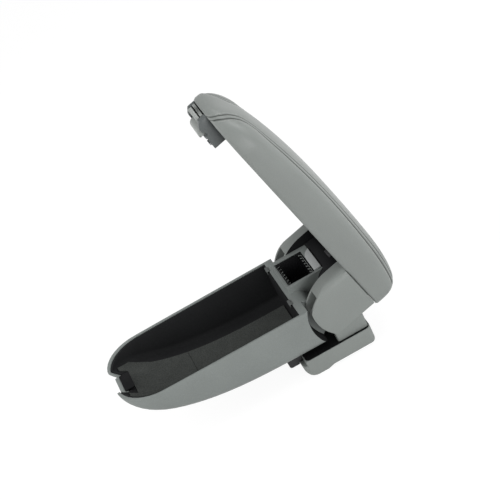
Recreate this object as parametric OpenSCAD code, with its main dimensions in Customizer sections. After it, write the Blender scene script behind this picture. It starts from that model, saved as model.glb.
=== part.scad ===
// Car centre armrest: a storage bin with a padded lid, both turning on one axle over a fixed base.
// The nose points along -X, the lid opens upwards, and the base's mounting face lies in Z = 0.
// Most sections are drawn from the pivot axis, which runs along Y.

/* [Armrest] */
// Outside width over the two cheeks
arm_w = 116; // [112:1:120]
// Distance from the pivot axis to the tip of the nose
nose_reach = 252; // [244:1:260]
// Height of the pivot axis over the mounting face
pivot_h = 66; // [66:0.5:70]
// Distance of the pivot axis behind the middle of the base
pivot_back = 38; // [36:0.5:40]
// Angle at which the lid stands open
open_angle = 75.6; // [70:0.1:76]
// Gap between parts that lie against each other
seat_gap = 0.3; // [0.2:0.05:0.4]
// Radial clearance of the turning fits
run_gap = 0.05; // [0.02:0.01:0.08]

/* [Bin] */
// Height of the bin's rim over the pivot axis
rim_z = 9.2; // [8.8:0.1:9.6]
// Outside depth of the bin at its rear
bin_depth = 49.6; // [47:0.1:51]
// Height of the nose's front edge
nose_lip = 1.8; // [1.5:0.1:4]
// Half width of the flat tip of the nose
nose_flat = 16.5; // [15:0.5:20]
// Length of the rounded nose
nose_len = 41; // [36:1:44]
// Amount by which each side closes in towards the nose
side_taper = 2.4; // [2:0.1:4]
// Wall of the bin
bin_wall = 2.6; // [2.2:0.1:3]
// Radius of the bin's lower edges
bin_edge_r = 10; // [7:0.5:12]
// Distance from the pivot axis to the bin's rear inner wall
bin_back = 55; // [54:0.5:58]
// Radius of the hollow behind the bin, round the cheeks
heel_r = 50; // [48.5:0.5:51]
// Drop of that hollow's centre below the pivot axis
heel_drop = 10; // [8:0.5:11]
// Half width of the notch in the nose
notch_half_w = 20; // [17:0.5:22]
// Depth of the notch
notch_depth = 8.4; // [7.5:0.1:9]
// Wall of the liner
liner_wall = 1.5; // [1.2:0.1:2]
// Thickness of the mat
mat_t = 1; // [0.8:0.1:1.2]

/* [Neck] */
// Height of the neck over the rim
neck_h = 8; // [6:0.5:9]
// Reach of the neck's front wall from the pivot axis
neck_front = 52; // [50:0.5:53]
// Reach of the neck's rear edge from the pivot axis
neck_back = 8; // [6:0.5:10]
// Half width of the neck's near side
neck_near = 16; // [14:0.5:20]
// Depth of the neck's pocket
pocket_depth = 30; // [20:1:31]
// Wall of the neck round its pocket
neck_wall = 3; // [2.5:0.1:3.5]
// Number of comb teeth on each side of the pocket
comb_count = 7; // [5:1:8]

/* [Lid] */
// Height of the lid's lower edge over the pivot axis, closed
lid_z = 12.8; // [12.5:0.1:13.5]
// Greatest thickness of the lid
lid_h = 40.7; // [38:0.1:42]
// Reach of the lid behind the pivot axis
lid_back = 32.7; // [32:0.1:34]
// Distance of the lid's tip behind the bin's
lid_tip_in = 6.5; // [4:0.5:10]
// Length of the lid's rounded nose
lid_nose_len = 48; // [44:1:56]
// Half width of the flat tip of the lid
lid_nose_flat = 3; // [2.5:0.1:4]
// Amount by which each side of the lid closes in towards its nose
lid_taper = 8.3; // [6:0.1:9]
// Drop of the lid's top from its highest place to its nose
crown_drop = 22.2; // [18:0.1:22.5]
// Thickness of the lid's panel
panel_t = 2.6; // [2:0.1:3]
// Width of cover folded in under the lid's edge
tuck_w = 6; // [5:0.5:8]
// Height of the hinge bay's ceiling over the pivot axis
bay_z = 28; // [27:0.5:30]
// Reach of the hinge bay in front of the pivot axis
bay_front = 62; // [60:0.5:66]
// Reach of the hinge bay behind the pivot axis
bay_back = 27; // [26.5:0.1:27.5]
// Distance of the hinge bay's sides inside the cheeks' outer faces
bay_side_in = 7.5; // [7:0.1:7.7]

/* [Cheeks] */
// Depth of each cheek across the armrest
cheek_depth = 20; // [19.5:0.1:21]
// Wall of the cheeks
cheek_wall = 2.6; // [2.2:0.1:2.8]
// Distance from the pivot axis to the cheek's front wall
cheek_front = 29.5; // [28.5:0.1:30.5]
// Distance from the pivot axis to the cheek's rear edge
cheek_back = 25; // [24.5:0.1:26]
// Radius of the cheek's round lower end
cheek_r = 44; // [43:0.1:44.4]
// Drop of the front wall's lower end below the pivot axis
cheek_front_drop = 27; // [25:0.5:27.5]

/* [Hinge] */
// Outside diameter of the axle tube
axle_d = 16; // [15:0.1:16.5]
// Wall of the axle tube
axle_wall = 1.6; // [1.2:0.1:2]
// Wall of the plastic bushings
bushing_wall = 2; // [1.5:0.1:2.2]
// Radius of the barrel between the cheeks
barrel_r = 19.5; // [18:0.5:20]
// Thickness of the bracket's steel sheet
sheet_t = 3; // [2.5:0.1:3.2]
// Radius of the bracket's rounded ears
ear_r = 14; // [13:0.5:15]

/* [Base] */
// Length of the base
base_len = 80; // [78:0.1:82]
// Reach of the base behind the pivot axis
base_back = 4.8; // [4:0.1:5]
// Depth of the base's top below the pivot axis
base_top = 45; // [44.7:0.1:46]
// Wall of the base cover
base_wall = 2.5; // [2:0.1:3]
// Height of the caps over the base's top
cap_h = 16; // [14:0.5:16]
// Length of the caps
cap_len = 34.5; // [32:0.5:36]
// Spacing of the mounting holes along the armrest
hole_dx = 50; // [46:1:52]
// Spacing of the mounting holes across the armrest
hole_dy = 70; // [60:1:76]
// Diameter of the mounting holes
hole_d = 6.6; // [5.5:0.1:8.5]

/* [Latch] */
// Half width of the latch housing
latch_half_w = 20; // [18:0.5:21]
// Distance of the housing's front behind the tip of the nose
latch_in = 10; // [10:0.1:10.5]
// Length of the latch housing
latch_len = 34.5; // [34:0.5:37]
// Depth of the housing below the lid's edge
latch_drop = 14.3; // [13:0.1:14.5]
// Half width of the sliding bolt
bolt_half_w = 14; // [12:0.5:15]

/* [Hidden] */
$fn = 64;

// One overrun serves all cuts
cut = 1;

// Colours
trim_grey = [0.52, 0.54, 0.52];
cover_grey = [0.55, 0.57, 0.55];
light_grey = [0.72, 0.73, 0.72];
liner_black = [0.10, 0.10, 0.11];
mat_black = [0.20, 0.20, 0.20];
steel = [0.62, 0.64, 0.66];
rubber_black = [0.08, 0.08, 0.08];
nylon = [0.86, 0.86, 0.82];

// Lateral places, from the middle plane outwards
side_y = arm_w / 2;
cheek_in = side_y - cheek_depth;
skin_in = side_y - cheek_wall;
wall_out = cheek_in + cheek_wall;
side_clear = 0.5;
bay_half_w = side_y - bay_side_in;
barrel_half = cheek_in - side_clear;
ear_y = (cheek_in + side_y) / 2 - sheet_t / 2;

// Radii round the axle
axle_r = axle_d / 2;
bush_in = axle_r + run_gap;
bush_out = bush_in + bushing_wall;
bush_seat = bush_out + run_gap;
bush_len = 12;
collar_wall = 4;
collar_len = 24;
boss_wall = 3.5;
boss_h = 1.9;

// Reach of the lid's tip and of the latch
lid_reach = nose_reach - lid_tip_in;
latch_front = nose_reach - latch_in;
latch_back = latch_front - latch_len;

// Length of the bin from its nose to its heels
heel_reach = 40;
bin_len = nose_reach - heel_reach;
bin_stations = 22;
bin_side_in = 0.5;
bin_draft = 1.5;
depth_power = 3.44;
depth_root = 0.82;
nose_power = 2.05;
wall_shift = 0.6;
edge_share = 0.4;
arc_steps = 6;

// Share of the whole length at a station; stations lie closer at the nose
function station_share(i, n) = pow(i / n, 2);
// Rounding from 0 at the tip to 1 at the end of the round stretch; power 2 gives a quarter ellipse
function round_share(d, run, power) = d >= run ? 1 : pow(1 - pow(1 - d / run, power), 1 / power);
// Half width of a boat shaped plan at distance d behind its tip
function plan_half(d, len, half, taper, flat, run, power) =
    let (straight = half - taper * pow(1 - d / len, 2))
    flat + (straight - flat) * round_share(d, run, power);
// Outside depth of the bin at the same distance
function depth_at(s) = nose_lip + (bin_depth - nose_lip) * pow(1 - pow(1 - s, depth_power), depth_root);

// Mirrors a half outline, listed upwards on the +Y side, into a closed one
function both_sides(half) =
    concat(half, [for (i = [len(half) - 1:-1:0]) if (half[i][0] > 0) [-half[i][0], half[i][1]]]);
// Open-topped trough outline: top half width, floor height, top height, corner radius
function trough(half, floor_z, top_z, r) = both_sides(concat(
    [for (i = [0:arc_steps]) let (a = 90 * i / arc_steps - 90)
        [half - min(bin_draft, r) - r + r * cos(a), floor_z + r + r * sin(a)]],
    [[half, top_z]]));

// Skin through rings of equal size, given from the front to the rear
module loft(rings) {
    n = len(rings[0]);
    m = len(rings);
    sides = [for (i = [0:m - 2]) for (j = [0:n - 1])
        let (a = i * n + j, b = i * n + (j + 1) % n)
        each [[a, a + n, b], [b, a + n, b + n]]];
    caps = [[for (j = [0:n - 1]) j], [for (j = [n - 1:-1:0]) (m - 1) * n + j]];
    polyhedron([for (ring = rings) for (p = ring) p], concat(sides, caps));
}

// Boat shaped trough, a wall's depth inside the bin's outer form, from the nose to the rear
module boat(inset, top_z, rear_x) {
    len = -rear_x;
    run = nose_reach - inset - len;
    loft([for (i = [0:bin_stations])
        let (d = station_share(i, bin_stations) * run,
             s = (d + wall_shift * inset) / bin_len,
             half = plan_half(d, bin_len, side_y - bin_side_in, side_taper, nose_flat, nose_len, nose_power)
                 - inset,
             floor_z = rim_z - depth_at(s) + inset,
             r = min(bin_edge_r - inset, edge_share * (rim_z - floor_z)))
        [for (p = trough(half, floor_z, top_z, r)) [-nose_reach + inset + d, p[0], p[1]]]]);
}

// Moves drawings made round the pivot axis to it
module at_pivot() translate([pivot_back, 0, pivot_h]) children();
// The same for what hangs on the lid, which stands open
module on_lid() at_pivot() rotate([0, open_angle, 0]) children();
// Both sides of the armrest
module each_side() {
    children();
    mirror([0, 1, 0]) children();
}
// Extrudes an outline drawn as (x, z) across the armrest, between two lateral places
module across(y0, y1) translate([0, y1, 0]) rotate([90, 0, 0]) linear_extrude(y1 - y0) children();
// Cylinder along the pivot axis, between two lateral places
module lateral(r, y0, y1) translate([0, y1, 0]) rotate([90, 0, 0]) cylinder(r = r, h = y1 - y0);
// Block between two corners
module block(low, high) translate(low) cube(high - low);
// Upright block with rounded vertical edges, between two corners
module soft_block(low, high, r) translate([0, 0, low[2]]) linear_extrude(high[2] - low[2])
    hull() for (x = [low[0] + r, high[0] - r], y = [low[1] + r, high[1] - r])
        translate([x, y]) circle(r, $fn = 24);

// Base

base_half = side_y + bin_side_in;
base_front = base_len - base_back;
base_h = pivot_h - base_top;
cover_foot = 2.3;
skirt_foot = seat_gap;
skirt_from = 45;
skirt_slope = 7;
front_share = 0.6;
front_r = front_share * base_h;
back_r = 4;
plan_r = 6;
lip_w = 1.2;
lip_h = 1.2;
buffer_back = 71;
step_share = 0.25;
buffer_seat = step_share * base_h;
buffer_front = 86.5;
buffer_side_in = 12.5;
buffer_half_w = base_half - buffer_side_in;
buffer_skirt = 2;
cap_wall = 2.2;
cap_back = base_back - lip_w - seat_gap;
cap_gap = 1.5;
cap_y0 = wall_out + cap_gap + boss_h - side_clear;
cap_y1 = skin_in - cap_gap;
ear_low_back = 0.2;
ear_low_len = 28.6;
ear_neck_x = 21.5;
ear_neck_z = 29.2;
front_lip_end = 225;
inner_front_x = -base_front + front_r + (front_r - base_wall) * cos(front_lip_end);
plate_half_w = ear_y + sheet_t;
slot_gap = seat_gap;
plate_r = 4;

// Arc of an outline round a centre, from one angle to another
function arc(cx, cz, r, a0, a1, steps) =
    [for (i = [0:steps]) let (a = a0 + (a1 - a0) * i / steps) [cx + r * cos(a), cz + r * sin(a)]];

// Side outline of the base, smaller by an inset; the inner one runs on past the foot
module base_side(inset, foot_cut) polygon(concat(
    [[base_back - inset, -base_top - inset]],
    [[-buffer_back + inset, -base_top - inset], [-buffer_back + inset, -base_top - buffer_seat - inset],
     [-base_front + inset, -base_top - buffer_seat - inset]],
    arc(-base_front + front_r, -pivot_h + skirt_foot + front_r, front_r - inset, 180,
        inset > 0 ? front_lip_end : 270, arc_steps),
    inset > 0 ? [[inner_front_x, -pivot_h - foot_cut]] : [],
    [[-skirt_from - skirt_slope, -pivot_h + skirt_foot - foot_cut],
     [-skirt_from, -pivot_h + cover_foot - foot_cut]],
    arc(base_back - back_r, -pivot_h + cover_foot + back_r - foot_cut, max(back_r - inset, cut), 270, 360,
        arc_steps)));

module base_cover() color(trim_grey) at_pivot() difference() {
    intersection() {
        across(-base_half, base_half) base_side(0, 0);
        soft_block([-base_front, -base_half, -pivot_h], [base_back, base_half, 0], plan_r);
    }
    // Open underside
    intersection() {
        across(-base_half + base_wall, base_half - base_wall) base_side(base_wall, 2 * base_wall);
        soft_block([-base_front + base_wall, -base_half + base_wall, -pivot_h - cut],
                   [base_back - base_wall, base_half - base_wall, 0], plan_r - base_wall);
    }
    // Sunk top inside a fine raised lip
    soft_block([-buffer_back + lip_w, -base_half + lip_w, -base_top - lip_h],
               [base_back - lip_w, base_half - lip_w, -base_top + cut], plan_r - lip_w);
    // Slots for the bracket's ears
    each_side() block([-ear_low_len - ear_low_back - slot_gap, ear_y - slot_gap, -base_top - 2 * base_wall],
                      [-ear_low_back + slot_gap, ear_y + sheet_t + slot_gap, 0]);
}

module hinge_bracket() color(steel) at_pivot() difference() {
    union() {
        soft_block([inner_front_x + seat_gap, -plate_half_w, -pivot_h],
                   [-ear_low_back, plate_half_w, -pivot_h + sheet_t], plate_r);
        each_side() across(ear_y, ear_y + sheet_t) {
            circle(ear_r);
            polygon([[-ear_low_len - ear_low_back, -pivot_h], [-ear_low_back, -pivot_h],
                     [-ear_low_back, -base_top + cap_h + seat_gap], [ear_r * cos(-30), ear_r * sin(-30)],
                     [ear_r * cos(210), ear_r * sin(210)], [-ear_neck_x, -ear_neck_z],
                     [-ear_low_len - ear_low_back, -base_top + cap_h / 2]]);
        }
    }
    lateral(axle_r + run_gap, -side_y, side_y);
    for (x = [-hole_dx / 2, hole_dx / 2], y = [-hole_dy / 2, hole_dy / 2])
        translate([x - pivot_back, y, -pivot_h - cut]) cylinder(d = hole_d, h = sheet_t + 2 * cut);
}

// Moulded cap over an ear's foot
module pillar_cap() at_pivot() difference() {
    soft_block([cap_back - cap_len, cap_y0, -base_top - lip_h + seat_gap],
               [cap_back, cap_y1, -base_top + cap_h], cap_wall);
    block([cap_back - cap_len + cap_wall, cap_y0 + cap_wall, -base_top - base_wall],
          [cap_back - cap_wall, cap_y1 - cap_wall, -base_top + cap_h - cap_wall]);
    block([-ear_low_len - ear_low_back - slot_gap, ear_y - slot_gap, -base_top],
          [-ear_low_back + slot_gap, ear_y + sheet_t + slot_gap, 0]);
}
module pillar_cap_left() color(trim_grey) mirror([0, 1, 0]) pillar_cap();
module pillar_cap_right() color(trim_grey) pillar_cap();

axle_over = 2.4;
axle_half = ear_y + sheet_t + axle_over;
module pivot_axle() color(steel) at_pivot() difference() {
    lateral(axle_r, -axle_half, axle_half);
    lateral(axle_r - axle_wall, -axle_half - cut, axle_half + cut);
}

clip_t = 1.2;
clip_w = 3.4;
clip_gap = 0.1;
module axle_clips() color(steel) at_pivot() each_side() difference() {
    lateral(axle_r + clip_w, ear_y + sheet_t + clip_gap, ear_y + sheet_t + clip_gap + clip_t);
    lateral(axle_r + run_gap, ear_y, side_y);
}

// Rubber rest under the bin's floor, seated on the base's front step and hanging over its front
buffer_top_gap = 0.4;
buffer_r = 2.5;
buffer_top = rim_z - bin_depth - buffer_top_gap;
buffer_low = -base_top - buffer_seat + seat_gap;
module rest_buffer() color(rubber_black) at_pivot() across(-buffer_half_w, buffer_half_w)
    polygon(concat(
        [[-buffer_back - seat_gap, buffer_low], [-buffer_back - seat_gap, buffer_top]],
        arc(-buffer_front + buffer_r, buffer_top - buffer_r, buffer_r, 90, 180, arc_steps),
        arc(-buffer_front + buffer_r, buffer_low - buffer_skirt + buffer_r, buffer_r, 180, 270, arc_steps),
        [[-base_front - seat_gap, buffer_low - buffer_skirt], [-base_front - seat_gap, buffer_low]]));

// Coiled springs that lift the lid, round the axle beside each ear
spring_wire_r = 0.7;
spring_gap = 0.6;
spring_turns = 2;
spring_r = bush_seat + spring_gap;
module lid_springs() color(steel) at_pivot() each_side()
    for (i = [0:spring_turns - 1])
        translate([0, ear_y - (2 * spring_wire_r + run_gap) * (i + 1 / 2) - run_gap, 0]) rotate([90, 0, 0])
            rotate_extrude() translate([spring_r, 0]) circle(spring_wire_r, $fn = 16);

// Bin

shelf_r = 12;
shelf_reach = 46;
web_low_share = 0.62;
web_reach = 12;
rear_wall_x = -bin_back;
liner_gap = 0.25;
liner_top_drop = 1.2;
neck_far = barrel_half;
neck_top = rim_z + neck_h;
neck_r = 3;
pocket_front = neck_front - neck_wall - cut;
tab_len = 9.5;
pocket_back = neck_back + tab_len;
far_wall = 6.5;
comb_reach = 3.6;
notch_slope = 4;
notch_len = 10.4;
ledge_in = 3.5;
ledge_h = 2;
ledge_r = 1.5;

// Outline of the middle of the bin's rear end: shelf, web and barrel
module heel_side() {
    circle(barrel_r);
    polygon(concat(
        [[rear_wall_x - cut, rim_z - bin_depth], [rear_wall_x - cut, rim_z]],
        arc(-shelf_reach, rim_z - shelf_r, shelf_r, 90, 0, arc_steps),
        [[-web_reach, -shelf_r + rim_z], [-web_reach, -barrel_r * web_low_share - cut],
         [-heel_reach, rim_z - bin_depth]]));
}

module bin_shell() color(trim_grey) at_pivot() difference() {
    union() {
        difference() {
            boat(0, rim_z, -heel_reach);
            translate([0, 0, -heel_drop]) lateral(heel_r, -side_y, side_y);
        }
        across(-barrel_half, barrel_half) heel_side();
        // Ledge across the bottom of the notch
        soft_block([-nose_reach + ledge_in, -notch_half_w + notch_slope, rim_z - notch_depth - ledge_h],
                   [-nose_reach + notch_len, notch_half_w - notch_slope, rim_z - notch_depth], ledge_r);
        soft_block([-neck_front, -neck_near, -barrel_r / 2], [-neck_back, neck_far, neck_top], neck_r);
    }
    boat(bin_wall, rim_z + cut, rear_wall_x);
    // Bore of the barrel, wider in the middle for the friction collar
    lateral(bush_seat, -side_y, side_y);
    lateral(bush_in + collar_wall + run_gap, -collar_len / 2 - seat_gap, collar_len / 2 + seat_gap);
    // Pocket of the neck
    block([-pocket_front, -neck_near + neck_wall, neck_top - pocket_depth],
          [-pocket_back, neck_far - far_wall, neck_top + cut]);
    // Notch at the nose
    nose_notch(0, notch_len);
}

// Notch for the latch; for the liner it is drawn wider by a gap, and longer
module nose_notch(gap, len) translate([-nose_reach - cut, 0, 0]) rotate([90, 0, 90])
    linear_extrude(len + cut) polygon([
        [-notch_half_w - gap, rim_z + cut], [-notch_half_w - gap, rim_z],
        [-notch_half_w + notch_slope - gap, rim_z - notch_depth - gap],
        [notch_half_w - notch_slope + gap, rim_z - notch_depth - gap],
        [notch_half_w + gap, rim_z], [notch_half_w + gap, rim_z + cut]]);

module bin_liner() color(liner_black) at_pivot() difference() {
    difference() {
        boat(bin_wall + liner_gap, rim_z - liner_top_drop, rear_wall_x - liner_gap);
        nose_notch(cut, nose_reach - striker_back + seat_gap);
    }
    boat(bin_wall + liner_gap + liner_wall, rim_z + cut, rear_wall_x - liner_gap - liner_wall);
}

// Mat on the floor, in two pieces, cut out round the latch
mat_side_in = 24;
mat_flare = 5;
mat_nose_in = 11;
mat_nose_run = 12;
mat_wide_in = 40;
mat_notch_in = 19;
mat_joint_in = 82;
mat_w = side_y - mat_side_in;
mat_nose_w = mat_w + mat_flare;
mat_front = nose_reach - mat_nose_in;
mat_nose = mat_front - mat_nose_run;
mat_wide = nose_reach - mat_wide_in;
mat_notch_x = nose_reach - mat_notch_in;
mat_notch_w = 21.5;
mat_tip_w = 27;
mat_margin = 3;
mat_joint = nose_reach - mat_joint_in;
joint_w = 0.4;
liner_in = bin_wall + liner_gap + liner_wall;
mat_edge = [[rear_wall_x - mat_margin, mat_w], [-mat_wide + mat_margin, mat_w],
    [-mat_wide, mat_w + mat_margin / 2], [-mat_nose, mat_nose_w], [-mat_front, mat_tip_w],
    [-mat_front, mat_notch_w], [-mat_notch_x, mat_notch_w]];
mat_last = len(mat_edge) - 1;
module bin_mat() color(mat_black) at_pivot() intersection() {
    difference() {
        boat(liner_in + seat_gap, rim_z, rear_wall_x - liner_gap - liner_wall - seat_gap);
        translate([0, 0, mat_t]) boat(liner_in + seat_gap, rim_z + cut, rear_wall_x + cut);
        block([-mat_joint, -side_y, rim_z - bin_depth], [-mat_joint + joint_w, side_y, rim_z]);
    }
    translate([0, 0, rim_z - bin_depth]) linear_extrude(bin_depth) polygon(concat(mat_edge,
        [for (i = [0:mat_last]) [mat_edge[mat_last - i][0], -mat_edge[mat_last - i][1]]]));
}

// Moulded insert of the neck's pocket: a floor and two rows of comb teeth
comb_gap = seat_gap;
comb_floor = 2;
comb_wall = 1.2;
comb_drop = 3;
tooth_w = 2.4;
comb_y0 = -neck_near + neck_wall + comb_gap;
comb_y1 = neck_far - far_wall - comb_gap;
comb_x0 = -pocket_front + comb_gap;
comb_x1 = -pocket_back - comb_gap;
comb_low = neck_top - pocket_depth + comb_gap;
comb_pitch = (comb_y1 - comb_y0 - tooth_w) / comb_count;
module neck_comb() color(mat_black) at_pivot() {
    block([comb_x0, comb_y0, comb_low], [comb_x1, comb_y1, comb_low + comb_floor]);
    for (row = [[comb_x0, comb_x0 + comb_wall, comb_x0 + comb_reach],
                [comb_x1 - comb_wall, comb_x1, comb_x1 - comb_reach]]) {
        block([row[0], comb_y0, comb_low], [row[1], comb_y1, neck_top - comb_drop]);
        for (i = [0:comb_count])
            block([min(row[0], row[2]), comb_y0 + i * comb_pitch, comb_low],
                  [max(row[1], row[2]), comb_y0 + i * comb_pitch + tooth_w, neck_top - comb_drop]);
    }
}

// Light plate behind the pocket, its far front corner rounded off
tab_t = 1.8;
tab_inset = 3;
tab_r = 16;
module neck_tab() color(light_grey) at_pivot()
    translate([-pocket_back, -neck_near + tab_inset, neck_top + run_gap]) linear_extrude(tab_t)
        difference() {
            square([tab_len - tab_inset / 2, neck_far + neck_near - 4 * tab_inset]);
            translate([0, neck_far + neck_near - 4 * tab_inset]) difference() {
                square(2 * tab_r, center = true);
                translate([tab_r, -tab_r]) circle(tab_r);
            }
        }

// Clips that hold the liner's rear edge down
clip_len = 9;
clip_near_in = 24;
clip_far_in = 21;
clip_y0 = clip_near_in - side_y;
clip_y1 = side_y - clip_far_in;
clip_thick = 1;
clip_high = 3.2;
module liner_clips() color(light_grey) at_pivot() for (y = [clip_y0, clip_y1])
    translate([rear_wall_x - liner_gap - liner_wall - clip_thick - run_gap, y, 0]) {
        block([0, 0, rim_z - clip_high], [clip_thick, clip_len, rim_z + run_gap]);
        block([0, 0, rim_z + run_gap], [clip_high, clip_len, rim_z + run_gap + clip_thick]);
    }

// Plate that the bolt's tooth catches under, in the notch of the nose
striker_t = 1.6;
striker_in = 8;
striker_len = 11.5;
striker_front = nose_reach - striker_in;
striker_back = striker_front - striker_len;
striker_z = rim_z - notch_depth + run_gap;
striker_half_w = 13.9;
module striker_plate() color(light_grey) at_pivot()
    soft_block([-striker_front, -striker_half_w, striker_z],
               [-striker_back, striker_half_w, striker_z + striker_t], striker_t);

module barrel_bushings() color(nylon) at_pivot() each_side() difference() {
    lateral(bush_out, barrel_half - bush_len, barrel_half);
    lateral(bush_in, 0, side_y);
}

// Split collar that grips the axle and holds the armrest's height
collar_slit = 2;
module friction_collar() color(steel) at_pivot() difference() {
    lateral(bush_in + collar_wall, -collar_len / 2, collar_len / 2);
    lateral(bush_in, -side_y, side_y);
    block([-collar_slit / 2, -collar_len, 0], [collar_slit / 2, collar_len, barrel_r]);
}

// Lid, drawn closed

lid_front_share = 0.18;
lid_back_share = 0.79;
lid_end_run = 50;
crown_x = 55;
crown_power = 2.5;
section_power = 0.49;
section_steps = 12;
lid_stations = 16;
lid_end_in = 4;
lid_end_r = 14;
foot_r = 2;
lid_len = lid_reach + lid_back;
bay_wall = panel_t;

// Thickness of the lid at the middle, over distance x from the pivot axis
function crown_h(x) = lid_h - crown_drop * pow(abs(x + crown_x) / (lid_reach - crown_x), crown_power);
function lid_top(x) =
    let (front = lid_front_share + (1 - lid_front_share) * round_share(x + lid_reach, lid_nose_len, 2),
         back = lid_back_share + (1 - lid_back_share) * round_share(lid_back - x, lid_end_run, 2))
    crown_h(x) * front * back;
function lid_half(x) = plan_half(x + lid_reach, lid_len, side_y, lid_taper, lid_nose_flat, lid_nose_len, 2)
    - lid_end_in * (1 - round_share(lid_back - x, lid_end_r, 2));
function lid_ring(x) =
    let (half = lid_half(x), h = lid_top(x))
    both_sides(concat([[half - foot_r, lid_z]],
        [for (i = [0:section_steps]) let (a = 90 * i / section_steps)
            [half * pow(cos(a), section_power), lid_z + foot_r + (h - foot_r) * pow(sin(a), section_power)]]));
// Stations, close at both ends
lid_xs = concat(
    [for (i = [0:lid_stations]) -lid_reach + station_share(i, lid_stations) * (lid_reach - crown_x)],
    [for (i = [lid_stations - 1:-1:0]) lid_back - station_share(i, lid_stations) * (lid_back + crown_x)]);

// Plan of the lid, smaller by an inset
module lid_plan(inset) {
    front = lid_reach - inset;
    back = lid_back - inset;
    half_line = [for (x = lid_xs) if (lid_half(x) > 2 * inset)
        [-front + (x + lid_reach) / lid_len * (front + back), lid_half(x) - inset]];
    polygon(concat(half_line, [for (i = [len(half_line) - 1:-1:0]) [half_line[i][0], -half_line[i][1]]]));
}

// Hinge bay in the lid's underside: wide over the ears, narrower over the neck
module bay(grow, low_z) {
    block([-bay_front - grow, -cheek_in - grow, low_z], [bay_back + grow, cheek_in + grow, bay_z + grow]);
    block([-cheek_front + cheek_wall - grow, -bay_half_w - grow, low_z],
          [bay_back + grow, bay_half_w + grow, bay_z + grow]);
}

module lid_pad() color(cover_grey) on_lid() difference() {
    loft([for (x = lid_xs) [for (p = lid_ring(x)) [x, p[0], p[1]]]]);
    translate([0, 0, lid_z - cut]) linear_extrude(panel_t + seat_gap + cut) lid_plan(tuck_w);
    bay(bay_wall + seat_gap, lid_z - cut);
}

panel_sink = 0.8;
panel_frame = 14;
module lid_panel() color(trim_grey) on_lid() difference() {
    union() {
        translate([0, 0, lid_z]) linear_extrude(panel_t) lid_plan(tuck_w + seat_gap);
        bay(bay_wall, lid_z);
    }
    bay(0, lid_z - cut);
    // Shallow field in the middle of the underside
    soft_block([-latch_back + panel_frame, -cheek_in, lid_z - cut],
               [-bay_front - panel_frame, cheek_in, lid_z + panel_sink], plan_r);
}

// Cheek, drawn on the +Y side

cheek_top_gap = seat_gap;
cheek_top = lid_z - cheek_top_gap;
chin_r = 54;
chin_z = 4;
chin_end = 228;
slant_x = 8;
corner_r = 14;
rim_r = 9;
ledge_w = 3;
ledge_t = 2.4;
arm_front = 22;
arm_back = 22;
arm_top = bay_z - seat_gap;
flange_w = 8;
flange_t = 2.5;
screw_r = 1.6;
screw_head_r = 3;
screw_head_h = 1.6;

// Side outline of the cheek: front curving into the chin, round lower end, straight rear
module cheek_side(inset) intersection() {
    circle(cheek_r - inset);
    polygon(concat(
        [[-cheek_front + inset, lid_z]],
        arc(-cheek_front + chin_r, -chin_z, chin_r - inset, 180, chin_end, 2 * arc_steps),
        [[-slant_x, -cheek_r]],
        arc(cheek_back - corner_r, -cheek_front_drop - corner_r / 4, corner_r, 270, 360, arc_steps),
        [[cheek_back, lid_z]]));
}

module cheek() on_lid() difference() {
    union() {
        difference() {
            intersection() {
                across(cheek_in, side_y) cheek_side(0);
                soft_block([-cheek_front, cheek_in - rim_r, -cheek_r], [cheek_back + rim_r, side_y, cheek_top],
                           rim_r);
            }
            // Hollow, open below and behind
            intersection() {
                across(wall_out, skin_in) polygon(concat(
                    [[-cheek_front + cheek_wall, cheek_top + cut]],
                    arc(-cheek_front + chin_r, -chin_z, chin_r - cheek_wall, 180, chin_end, 2 * arc_steps),
                    [[cheek_back + cut, -cheek_r - cut], [cheek_back + cut, cheek_top + cut]]));
                soft_block([-cheek_front + cheek_wall, wall_out - rim_r, -cheek_r - cut],
                           [cheek_back + rim_r, skin_in, cheek_top + cut], rim_r - cheek_wall);
            }
            block([-cheek_front - cut, wall_out, -cheek_r - cut],
                  [cheek_back + cut, skin_in, -cheek_front_drop]);
        }
        // Ledge along the top of the skin
        block([-cheek_front + cheek_wall, skin_in - ledge_w, cheek_top - ledge_t],
              [cheek_back, skin_in + cut, cheek_top]);
        // Hinge arm up into the bay, with its screwed flange
        block([-arm_front, cheek_in + seat_gap, 0], [arm_back, wall_out, arm_top]);
        block([-arm_front, cheek_in + seat_gap, arm_top - flange_t], [arm_back, wall_out + flange_w, arm_top]);
        lateral(bush_seat + boss_wall, cheek_in, wall_out + boss_h);
    }
    lateral(bush_seat, 0, wall_out + boss_h + cut);
    for (x = [-arm_front / 2, arm_back / 2])
        translate([x, wall_out + flange_w / 2, arm_top - flange_t - cut])
            cylinder(r = screw_r + run_gap, h = flange_t + 2 * cut);
}
module cheek_left() color(trim_grey) mirror([0, 1, 0]) cheek();
module cheek_right() color(trim_grey) cheek();

module cheek_bushings() color(nylon) on_lid() each_side() difference() {
    union() {
        lateral(bush_out, cheek_in + run_gap, wall_out + boss_h + side_clear);
        lateral(bush_out + bushing_wall, wall_out + boss_h + run_gap, wall_out + boss_h + side_clear);
    }
    lateral(bush_in, 0, side_y);
}

// Screws up through the flanges into the bay's ceiling
module cheek_screws() color(steel) on_lid() each_side()
    for (x = [-arm_front / 2, arm_back / 2])
        translate([x, wall_out + flange_w / 2, arm_top - flange_t]) {
            translate([0, 0, -screw_head_h - run_gap]) cylinder(r = screw_head_r, h = screw_head_h);
            translate([0, 0, -screw_head_h]) cylinder(r = screw_r, h = flange_t + screw_head_h + seat_gap);
        }

// Latch, on the closed lid

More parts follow.
